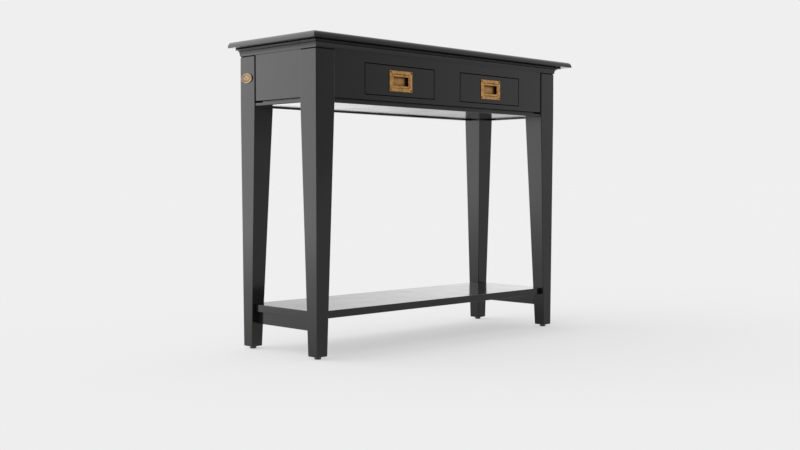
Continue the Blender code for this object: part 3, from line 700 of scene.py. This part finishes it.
class CONSOLE_OT_moulding(bpy.types.Operator):
    """Makes the cove moulding round the front and both ends, mitred at the corners"""

    bl_idname = "console_table.moulding"
    bl_label = "Cove Moulding"

    def profile(self, shapes, low, high, out):
        """The section as (out, height) points, from the back of its top edge."""
        top = high - shapes.top_gap
        band_low = top - shapes.band_high
        fillet_low = band_low - shapes.fillet_high
        cove_high, cove_low = fillet_low - shapes.quirk_high, low + COVE_TOE
        gap_back, quirk_back = out - shapes.top_gap_deep, shapes.cove_out - shapes.quirk_deep
        points = [(0, high), (gap_back, high), (gap_back, top), (out, top), (out, band_low)]
        points += [(shapes.fillet_out, band_low), (shapes.fillet_out, fillet_low)]
        points += [(quirk_back, fillet_low), (quirk_back, cove_high)]
        sweep = shapes.cove_out - shapes.cove_foot
        for step in range(ARC_STEPS + 1):
            angle = QUARTER * step / ARC_STEPS
            level = cove_low + (cove_high - cove_low) * cos(angle)
            points.append((shapes.cove_out - sweep * sin(angle), level))
        return points + [(shapes.cove_foot, low), (0, low)]

    def execute(self, context):
        shapes = context.scene.console_shapes
        low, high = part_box("left_cove_moulding")
        leg_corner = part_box("front_left_leg")[0]
        back, front, left = high.y, leg_corner.y, leg_corner.x
        section = self.profile(shapes, low.z, high.z, left - low.x)
        piece = start_outline("cove_moulding", [(left - out, back, z) for out, z in section])
        pull(y=front - back)
        swing(EIGHTH, "Z", (left, front, 0))
        stretch(sqrt(2), sqrt(2), 1, (left, front, 0))
        pull(x=-2 * left)
        swing(QUARTER, "Z", (-left, front, 0))
        pull(y=back - front)
        stretch(1 / sqrt(2), 1 / sqrt(2), 1, (-left, back, 0))
        swing(EIGHTH, "Z", (-left, back, 0))
        close()
        round_edges(piece, MOULDING_ROUND)
        nodes = ("left_cove_moulding", "front_cove_moulding", "right_cove_moulding")
        hand_over_lacquered(piece, "x", *nodes)
        gap_low = high.z - shapes.top_gap
        # The faces inside the gap under the top get the near-black gap finish: painted shade
        refinish_faces(
            piece, "bare_black_stain",
            lambda centre, normal: centre.z > gap_low and abs(normal.z) < 0.5,
        )
        return {"FINISHED"}


class CONSOLE_OT_legs(bpy.types.Operator):
    """Makes the four legs, square behind the rails and tapered below them"""

    bl_idname = "console_table.legs"
    bl_label = "Legs"

    def execute(self, context):
        shapes = context.scene.console_shapes
        low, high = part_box("front_left_leg")
        wide = high.x - low.x
        first = start_box("leg_front_left", low, high)
        edit()
        cut(UP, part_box("front_bottom_strip")[0].z)
        pick_faces(facing(-UP))
        shrink = shapes.leg_foot / wide
        lean = shapes.leg_taper / (1 - shrink)
        stretch(shrink, shrink, 1, (low.x + lean, low.y + lean, low.z))
        close()
        apply_modifier(first, "BEVEL", width=shapes.leg_edge, segments=BOARD_STEPS)
        gap_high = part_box("left_cove_moulding")[0].z
        gap_low = gap_high - shapes.leg_gap
        edit()
        cut(UP, gap_low, gap_high)
        pick_faces(lambda centre, normal: gap_low < centre.z < gap_high)
        pull()
        inner = (wide - 2 * shapes.leg_gap_deep) / wide
        stretch(inner, inner, 1, (low + high) / 2)
        close()
        middle = (low.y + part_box("rear_left_leg")[1].y) / 2
        legs = {"front_left": first}
        for place, scale in OTHER_CORNERS.items():
            legs[place] = copy_piece(first, f"leg_{place}", scale=scale, centre=(0, middle, 0))
        for place, leg in legs.items():
            round_edges(leg, LEG_ROUND, sharp=LEG_SHARP)
            hand_over_lacquered(leg, "z", f"{place}_leg")
            # The faces inside each leg's gap get the near-black gap finish: painted shade
            refinish_faces(
                leg, "bare_black_stain",
                lambda centre, normal: gap_low - NEAR < centre.z < gap_high + NEAR,
            )
        return {"FINISHED"}


class CONSOLE_OT_glides(bpy.types.Operator):
    """Makes the round glide under each leg"""

    bl_idname = "console_table.glides"
    bl_label = "Glides"

    def execute(self, context):
        low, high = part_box("front_left_glide")
        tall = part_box("front_left_leg")[0].z
        centre = (low + high) / 2
        centre.z = tall / 2
        radius = (high.x - low.x) / 2
        first = start_disc("glide_front_left", GLIDE_SIDES, radius, tall, centre)
        edit()
        pick_faces(facing(-UP))
        bpy.ops.mesh.bevel(offset=GLIDE_EDGE, segments=GLIDE_EDGE_STEPS, affect="EDGES")
        pick_faces(facing(-UP, EXACTLY))
        inset(GLIDE_RING)
        pull(z=GLIDE_DISH)
        close()
        glides = {"front_left": first}
        for place in OTHER_CORNERS:
            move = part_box(f"{place}_glide")[0] - low
            glides[place] = copy_piece(first, f"glide_{place}", move=move)
        for place, glide in glides.items():
            round_edges(glide, GLIDE_ROUND)
            hand_over(glide, "carcase", "moulded_black_nylon", "black_nylon", f"{place}_glide")
        return {"FINISHED"}


class CONSOLE_OT_face_frame(bpy.types.Operator):
    """Makes the face frame, with an opening for each drawer"""

    bl_idname = "console_table.face_frame"
    bl_label = "Face Frame"

    def execute(self, context):
        shapes = context.scene.console_shapes
        rail_low, rail_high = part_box("front_bottom_rail")
        top_low, top_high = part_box("front_top_rail")
        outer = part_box("front_right_stile")[0].x
        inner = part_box("front_centre_stile")[1].x
        opening_low, opening_high = rail_high.z, top_low.z
        cove_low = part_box("left_cove_moulding")[0].z
        piece = start_box("face_frame", rail_low, (rail_high.x, rail_high.y, top_high.z))
        edit()
        cut(ACROSS, -outer, -inner, inner, outer)
        cut(UP, opening_low, opening_high, cove_low)
        for side in (LEFT, RIGHT):
            pick_faces(
                lambda centre, normal: abs(normal.y) > ABOUT
                and inner < side * centre.x < outer
                and opening_low < centre.z < opening_high
            )
            bpy.ops.mesh.bridge_edge_loops()
        pick_faces(lambda centre, normal: normal.y < -ABOUT and centre.z > cove_low)
        pull(y=top_low.y - rail_low.y)
        dissolve_flats()
        close()
        round_edges(piece, shapes.board_edge, BOARD_STEPS)
        nodes = ["front_bottom_rail", "front_top_rail"]
        nodes += [f"front_{place}_stile" for place in ("left", "centre", "right")]
        hand_over_lacquered(piece, "x", *nodes)
        return {"FINISHED"}


class CONSOLE_OT_rails(bpy.types.Operator):
    """Makes the two end rails and the back rail"""

    bl_idname = "console_table.rails"
    bl_label = "Rails"

    def execute(self, context):
        shapes = context.scene.console_shapes
        cove_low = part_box("left_cove_moulding")[0].z
        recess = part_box("front_bottom_rail")[0].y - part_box("front_left_leg")[0].y
        for hand, side in HANDS.items():
            low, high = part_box(f"{hand}_end_rail")
            if side == LEFT:
                low.x += recess
            else:
                high.x -= recess
            piece = start_box(f"rail_{hand}", low, high)
            edit()
            cut(UP, cove_low)
            pick_faces(lambda centre, normal: side * normal.x > ABOUT and centre.z > cove_low)
            pull(x=side * recess)
            close()
            round_edges(piece, shapes.board_edge, BOARD_STEPS)
            hand_over_lacquered(piece, "y", f"{hand}_end_rail")
        piece = start_box("rail_back", *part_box("back_rail"))
        round_edges(piece, shapes.board_edge, BOARD_STEPS)
        hand_over_lacquered(piece, "x", "back_rail")
        return {"FINISHED"}


class CONSOLE_OT_underside(bpy.types.Operator):
    """Makes the panel that closes the underside, and the strips below its edges"""

    bl_idname = "console_table.underside"
    bl_label = "Underside"

    def execute(self, context):
        nose = context.scene.console_shapes.strip_nose
        strips = (("front", 1, FRONT), ("back", 1, REAR), ("left", 0, LEFT), ("right", 0, RIGHT))
        for place, axis, side in strips:
            low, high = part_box(f"{place}_bottom_strip")
            outer = low[axis] if side < 0 else high[axis]
            piece = start_box(f"strip_{place}", low, high)
            edit()
            pick_edges(lambda p: abs(p[axis] - outer) < NEAR and abs(p.z - low.z) < NEAR)
            bpy.ops.mesh.bevel(offset=nose, segments=NOSE_STEPS, affect="EDGES")
            close()
            round_edges(piece, STRIP_ROUND)
            hand_over_lacquered(piece, "yx"[axis], f"{place}_bottom_strip")
        piece = copy_node("panel_under", "bottom_panel")
        round_edges(piece, PANEL_ROUND)
        finish = "black_lacquered_wood_x"
        hand_over(piece, "carcase", finish, "lacquered_plywood", "bottom_panel")
        return {"FINISHED"}


class CONSOLE_OT_shelf(bpy.types.Operator):
    """Makes the low shelf, cut out round the legs, and the stretchers under its ends"""

    bl_idname = "console_table.shelf"
    bl_label = "Shelf"

    def execute(self, context):
        shapes = context.scene.console_shapes
        low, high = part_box("shelf")
        middle = (low.y + high.y) / 2
        corners = [vertex.co for vertex in frame["nodes"]["shelf"].data.vertices]
        notch_x = min(abs(corner.x) for corner in corners)
        notch_y = min(abs(corner.y - middle) for corner in corners)
        half_x, half_y = high.x, high.y - middle
        quarter = [(half_x, notch_y), (notch_x, notch_y), (notch_x, half_y)]
        outline = quarter + [(-x, y) for x, y in reversed(quarter)]
        outline += [(-x, -y) for x, y in quarter] + [(x, -y) for x, y in reversed(quarter)]
        points = [(x, middle + y, low.z) for x, y in outline]
        piece = start_slab("shelf_board", points, z=high.z - low.z)
        round_edges(piece, shapes.shelf_edge, BOARD_STEPS)
        hand_over_lacquered(piece, "x", "shelf")
        for hand in HANDS:
            piece = copy_node(f"stretcher_of_{hand}_end", f"{hand}_stretcher")
            round_edges(piece, shapes.board_edge, BOARD_STEPS)
            hand_over_lacquered(piece, "y", f"{hand}_stretcher")
        return {"FINISHED"}


class CONSOLE_OT_drawer_fronts(bpy.types.Operator):
    """Makes the drawer fronts, each with a pocket for its pull"""

    bl_idname = "console_table.drawer_fronts"
    bl_label = "Drawer Fronts"

    def execute(self, context):
        shapes = context.scene.console_shapes
        play = shapes.well_wall + PULL_PLAY
        half_x = shapes.well_wide / 2 + play
        half_z = shapes.well_high / 2 + play
        for hand in HANDS:
            low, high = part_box(f"{hand}_drawer_front")
            plate_low, plate_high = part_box(f"{hand}_pull_plate")
            middle = (plate_low + plate_high) / 2
            piece = start_box(f"front_of_{hand}_drawer", low, high)
            edit()
            for side in (-1, 1):
                cut(ACROSS, middle.x + side * half_x)
                cut(UP, middle.z + side * half_z)
            pick_faces(
                lambda centre, normal: normal.y < -ABOUT
                and abs(centre.x - middle.x) < half_x
                and abs(centre.z - middle.z) < half_z
            )
            pull(y=plate_high.y + PULL_PLAY - low.y)
            dissolve_flats()
            close()
            round_edges(piece, shapes.board_edge, BOARD_STEPS)
            hand_over_lacquered(piece, "x", f"{hand}_drawer_front", body=f"{hand}_drawer")
        return {"FINISHED"}


class CONSOLE_OT_drawer_boxes(bpy.types.Operator):
    """Makes the wooden sides, backs and bottoms of the drawers"""

    bl_idname = "console_table.drawer_boxes"
    bl_label = "Drawer Boxes"

    def execute(self, context):
        parts = (("left_side", "y"), ("right_side", "y"), ("back", "x"), ("bottom", "x"))
        for hand in HANDS:
            for part, grain in parts:
                drawer = f"{hand}_drawer"
                piece = copy_node(f"box_{hand}_{part}", f"{drawer}_{part}")
                round_edges(piece, BOX_ROUND)
                hand_over(piece, drawer, f"poplar_{grain}", "drawer_wood", f"{drawer}_{part}")
        return {"FINISHED"}


class CONSOLE_OT_runners(bpy.types.Operator):
    """Makes the runners under the drawers and the guides beside them"""

    bl_idname = "console_table.runners"
    bl_label = "Runners and Guides"

    def execute(self, context):
        for hand in HANDS:
            for place in ("inner", "outer"):
                for part in ("runner", "guide"):
                    node = f"{hand}_drawer_{place}_{part}"
                    piece = copy_node(f"{part}_{hand}_{place}", node)
                    round_edges(piece, RUNNER_ROUND)
                    hand_over(piece, "carcase", "poplar_y", "drawer_wood", node)
        return {"FINISHED"}


class CONSOLE_OT_plates(bpy.types.Operator):
    """Makes the brass plate of each pull, with its sunk well"""

    bl_idname = "console_table.plates"
    bl_label = "Pull Plates"

    def outline(self, centre, width, height, low, high, y):
        """A rounded oblong facing the front, with a radius for its low and its high corners."""
        points = []
        corners = ((1, 1, high), (-1, 1, high), (-1, -1, low), (1, -1, low))
        for turn, (side, end, radius) in enumerate(corners):
            for step in range(CORNER_STEPS + 1):
                angle = radians(90 * turn + 90 * step / CORNER_STEPS)
                x = side * (width / 2 - radius) + radius * cos(angle)
                z = end * (height / 2 - radius) + radius * sin(angle)
                points.append((centre.x + x, y, centre.z + z))
        return points

    def well_outline(self, shapes, centre, grow, y):
        """The well's outline, or one that runs round it at a distance."""
        width, height = shapes.well_wide + 2 * grow, shapes.well_high + 2 * grow
        low, high = shapes.well_low_round + grow, shapes.well_high_round + grow
        return self.outline(centre, width, height, low, high, y)

    def screw_hole(self, number):
        """A round tool that sinks the place of one screw's head into the plate."""
        low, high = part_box(f"left_pull_screw_{number}")
        radius = (high.x - low.x) / 2 + SCREW_PLAY
        centre = (low + high) / 2
        centre.y = low.y
        return start_disc("screw_hole", SCREW_SIDES, radius, SCREW_HOLE, centre, (QUARTER, 0, 0))

    def execute(self, context):
        shapes = context.scene.console_shapes
        low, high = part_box("left_pull_plate")
        centre, face = (low + high) / 2, low.y
        middle = face + shapes.plate_thick / 2
        size = high.x - low.x, high.z - low.z
        oblong = self.outline(centre, *size, PLATE_CORNER, PLATE_CORNER, face)
        around = self.well_outline(shapes, centre, shapes.well_wall, middle)
        inside = self.well_outline(shapes, centre, 0.0, face - MM)
        first = start_slab("plate_left", oblong, y=shapes.plate_thick)
        tools = [(start_slab("shell", around, y=high.y - middle), "UNION")]
        tools += [(start_slab("well", inside, y=shapes.well_deep + MM), "DIFFERENCE")]
        tools += [(self.screw_hole(number), "DIFFERENCE") for number in SCREWS]
        for tool, operation in tools:
            apply_modifier(first, "BOOLEAN", object=tool, operation=operation, solver="EXACT")
            bpy.data.objects.remove(tool, do_unlink=True)
        edit()
        pick_all()
        bpy.ops.mesh.remove_doubles(threshold=NEAR)
        close()
        second = copy_piece(first, "plate_right", move=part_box("right_pull_plate")[0] - low)
        for hand, plate in (("left", first), ("right", second)):
            round_edges(plate, PLATE_ROUND, PLATE_STEPS)
            node = f"{hand}_pull_plate"
            hand_over(plate, f"{hand}_drawer", "antique_cast_brass", "antique_brass", node)
        return {"FINISHED"}


class CONSOLE_OT_rings(bpy.types.Operator):
    """Makes the ring that lies in each pull's well"""

    bl_idname = "console_table.rings"
    bl_label = "Ring Pulls"

    def execute(self, context):
        for hand in HANDS:
            node = f"{hand}_pull_ring"
            piece = copy_node(f"ring_{hand}", node)
            round_edges(piece, RING_ROUND)
            hand_over(piece, f"{hand}_ring", "antique_cast_brass", "antique_brass", node)
        return {"FINISHED"}


class CONSOLE_OT_screws(bpy.types.Operator):
    """Makes the slotted screws that hold the pulls"""

    bl_idname = "console_table.screws"
    bl_label = "Pull Screws"

    def execute(self, context):
        low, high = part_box("left_pull_screw_1")
        middle = (low + high) / 2
        head = Vector((middle.x, low.y + HEAD_THICK / 2, middle.z))
        radius = (high.x - low.x) / 2
        first = start_disc("screw_left_1", SCREW_SIDES, radius, HEAD_THICK, head, (QUARTER, 0, 0))
        edit()
        pick_faces(facing(BACK))
        pull(y=HEAD_CONE)
        stretch(SHANK_SHARE, 1, SHANK_SHARE, middle)
        pull(y=high.y - low.y - HEAD_THICK - HEAD_CONE)
        half = context.scene.console_shapes.screw_slot / 2
        cut(UP, middle.z - half, middle.z + half)
        pick_faces(lambda centre, normal: normal.y < -ABOUT and abs(centre.z - middle.z) < half)
        pull(y=SLOT_DEEP)
        close()
        screws = {("left", 1): first}
        for hand in HANDS:
            for number in SCREWS:
                if (hand, number) not in screws:
                    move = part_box(f"{hand}_pull_screw_{number}")[0] - low
                    screws[hand, number] = copy_piece(first, f"screw_{hand}_{number}", move=move)
        for (hand, number), screw in screws.items():
            round_edges(screw, SCREW_ROUND)
            node = f"{hand}_pull_screw_{number}"
            hand_over(screw, f"{hand}_drawer", "dark_turned_brass", "antique_brass", node)
        return {"FINISHED"}


class CONSOLE_OT_badge(bpy.types.Operator):
    """Makes the oval badge on the left rear leg, with a raised rim and a plain lozenge"""

    bl_idname = "console_table.badge"
    bl_label = "Badge"

    def oval(self, low, high):
        """The oval, with a rim round a sunk field that is slightly crowned."""
        centre, size = (low + high) / 2, high - low
        upright = size.x * BADGE_UPRIGHT
        place = (high.x - upright / 2, centre.y, centre.z)
        piece = start_disc(
            "badge_oval", BADGE_SIDES, 0.5, upright, place, (0, -QUARTER, 0), (size.z, size.y, 1)
        )
        edit()
        pick_faces(facing(-ACROSS))
        inset(BADGE_EDGE)
        pull(x=upright - size.x)
        stretch(*BADGE_DRAFT, (low.x, centre.y, centre.z))
        inset(BADGE_RIM)
        pull(x=FIELD_SUNK)
        inset(FIELD_FLAT)
        for rise in CROWN_RISES:
            inset(CROWN_RING)
            shift(-rise, 0, 0)
        close()
        return piece

    def lozenge(self, low, centre):
        """A plain raised lozenge with a sunk middle."""
        piece = start_box("lozenge", (-0.5, -0.5, -0.5), (0.5, 0.5, 0.5))
        edit()
        pick_all()
        swing(EIGHTH, "X", (0, 0, 0))
        stretch(*LOZENGE, (0, 0, 0))
        shift(low.x + LOZENGE_BACK, centre.y, centre.z)
        pick_faces(facing(-ACROSS))
        inset(LOZENGE_RIM)
        pull(x=LOZENGE_SUNK)
        close()
        return piece

    def execute(self, context):
        low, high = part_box("badge")
        piece = self.oval(low, high)
        ornament = self.lozenge(low, (low + high) / 2)
        select_only(piece)
        ornament.select_set(True)
        bpy.ops.object.join()
        round_edges(piece, BADGE_ROUND)
        hand_over(piece, "carcase", "pale_stamped_brass", "pale_brass", "badge")
        refinish_faces(
            piece, "pale_brushed_field",
            lambda centre, normal: normal.x < -ABOUT and centre.x > low.x + FIELD_FROM,
        )
        return {"FINISHED"}


# ---------------- stage


class CONSOLE_OT_stage(bpy.types.Operator):
    """Makes the pale floor, the soft studio light and the camera"""

    bl_idname = "console_table.stage"
    bl_label = "Stage"

    def floor(self, stage):
        """A pale floor that glows a little, takes soft shade, and is clear from below. In
        reflections it glows brighter behind on the left: painted light.
        """
        deselect()
        bpy.ops.mesh.primitive_plane_add(size=FLOOR_SIZE, location=(0, 0, 0))
        ground = claim("studio_floor")
        material = bpy.data.materials.new("lit_white_acrylic")
        material.use_nodes = True
        material.node_tree.nodes.clear()
        add = partial(add_node, material.node_tree)
        place = add("TexCoord", out="Object")
        # Painted light: only glossy rays see the floor brighter behind on the left; the camera sees
        # it plain and pale
        toward = add("VectorMath", (place, BEHIND_LEFT), "Value", operation="DOT_PRODUCT")
        near = add("MapRange", (toward, *MIRRORED_NEAR))
        far = add("MapRange", (toward, *MIRRORED_FAR))
        lit = add("Math", (near, far), operation="ADD")
        mirrored = add("LightPath", out="Is Glossy Ray")
        mixed = {"Factor": mirrored, MIX_A: (*stage.pale, 1), MIX_B: lit}
        pale = add("Mix", mixed, **OF_COLOURS)
        glow = add("Emission", {"Color": pale, "Strength": 1 - stage.shade})
        share = stage.shade / stage.open_light
        shaded = add("VectorMath", {0: pale, "Scale": share}, operation="SCALE")
        matt = add("BsdfDiffuse", {"Color": shaded})
        both = add("AddShader", (glow, matt))
        under = add("NewGeometry", out="Backfacing")
        clear = add("BsdfTransparent")
        add("OutputMaterial", {"Surface": add("MixShader", (under, both, clear))})
        ground.data.materials.append(material)

    def sky(self, context, stage):
        """Soft light from all round, strongest from behind on the left and from above."""
        world = bpy.data.worlds.new("soft_studio")
        context.scene.world = world
        world.use_nodes = True
        world.node_tree.nodes.clear()
        add = partial(add_node, world.node_tree)
        way = add("TexCoord", out="Generated")
        total = SKY_BASE
        for aim, strength, start, full in SKY_LIGHTS:
            aim = Vector(aim).normalized()
            near = add("VectorMath", (way, aim), "Value", operation="DOT_PRODUCT")
            spread = (near, start, full, 0.0, strength)
            light = add("MapRange", spread, interpolation_type="SMOOTHSTEP")
            total = add("Math", (total, light), operation="ADD")
        light = add("Background", {"Strength": total})
        back = add("Background", {"Color": (*stage.pale, 1)})
        seen = add("LightPath", out="Is Camera Ray")
        add("OutputWorld", {"Surface": add("MixShader", (seen, light, back))})

    def camera(self, context, stage):
        """The camera, low and well to the left."""
        deselect()
        bpy.ops.object.camera_add(location=stage.camera_place)
        camera = context.object
        camera.name = "studio_camera"
        camera.rotation_mode = "QUATERNION"
        camera.rotation_quaternion = Vector(stage.camera_aim).to_track_quat("-Z", "Y")
        camera.data.lens = stage.camera_lens
        camera.data.sensor_width = 36.0
        camera.data.dof.use_dof = False
        context.scene.camera = camera

    def execute(self, context):
        stage = context.scene.console_stage
        self.floor(stage)
        self.sky(context, stage)
        self.camera(context, stage)
        context.scene.view_settings.view_transform = "Standard"
        return {"FINISHED"}


# ---------------- add-on

STEPS = (
    CONSOLE_OT_stage, CONSOLE_OT_top, CONSOLE_OT_moulding, CONSOLE_OT_legs,
    CONSOLE_OT_glides, CONSOLE_OT_face_frame, CONSOLE_OT_rails, CONSOLE_OT_underside,
    CONSOLE_OT_shelf, CONSOLE_OT_drawer_fronts, CONSOLE_OT_drawer_boxes, CONSOLE_OT_runners,
    CONSOLE_OT_plates, CONSOLE_OT_rings, CONSOLE_OT_screws, CONSOLE_OT_badge,
)


class CONSOLE_PT_pieces(bpy.types.Panel):
    """Lists the settings and the steps that make the table"""

    bl_label = "Console Table"
    bl_idname = "CONSOLE_PT_pieces"
    bl_space_type = "VIEW_3D"
    bl_region_type = "UI"
    bl_category = "Console Table"

    def draw(self, context):
        for group, kind in GROUPS.items():
            column = self.layout.column(align=True)
            for name in kind.__annotations__:
                column.prop(getattr(context.scene, group), name)
        column = self.layout.column(align=True)
        for step in STEPS:
            column.operator(step.bl_idname)


GROUPS = {
    "console_shapes": ConsoleShapes,
    "console_finish": ConsoleFinish,
    "console_stage": ConsoleStage,
}
CLASSES = (*GROUPS.values(), *STEPS, CONSOLE_PT_pieces)


def register():
    for each in CLASSES:
        bpy.utils.register_class(each)
    for name, group in GROUPS.items():
        setattr(bpy.types.Scene, name, PointerProperty(type=group))


def unregister():
    for name in GROUPS:
        delattr(bpy.types.Scene, name)
    for each in reversed(CLASSES):
        bpy.utils.unregister_class(each)


def main():
    register()
    for step in STEPS:
        group, name = step.bl_idname.split(".")
        getattr(getattr(bpy.ops, group), name)()


if __name__ == "__main__":
    main()
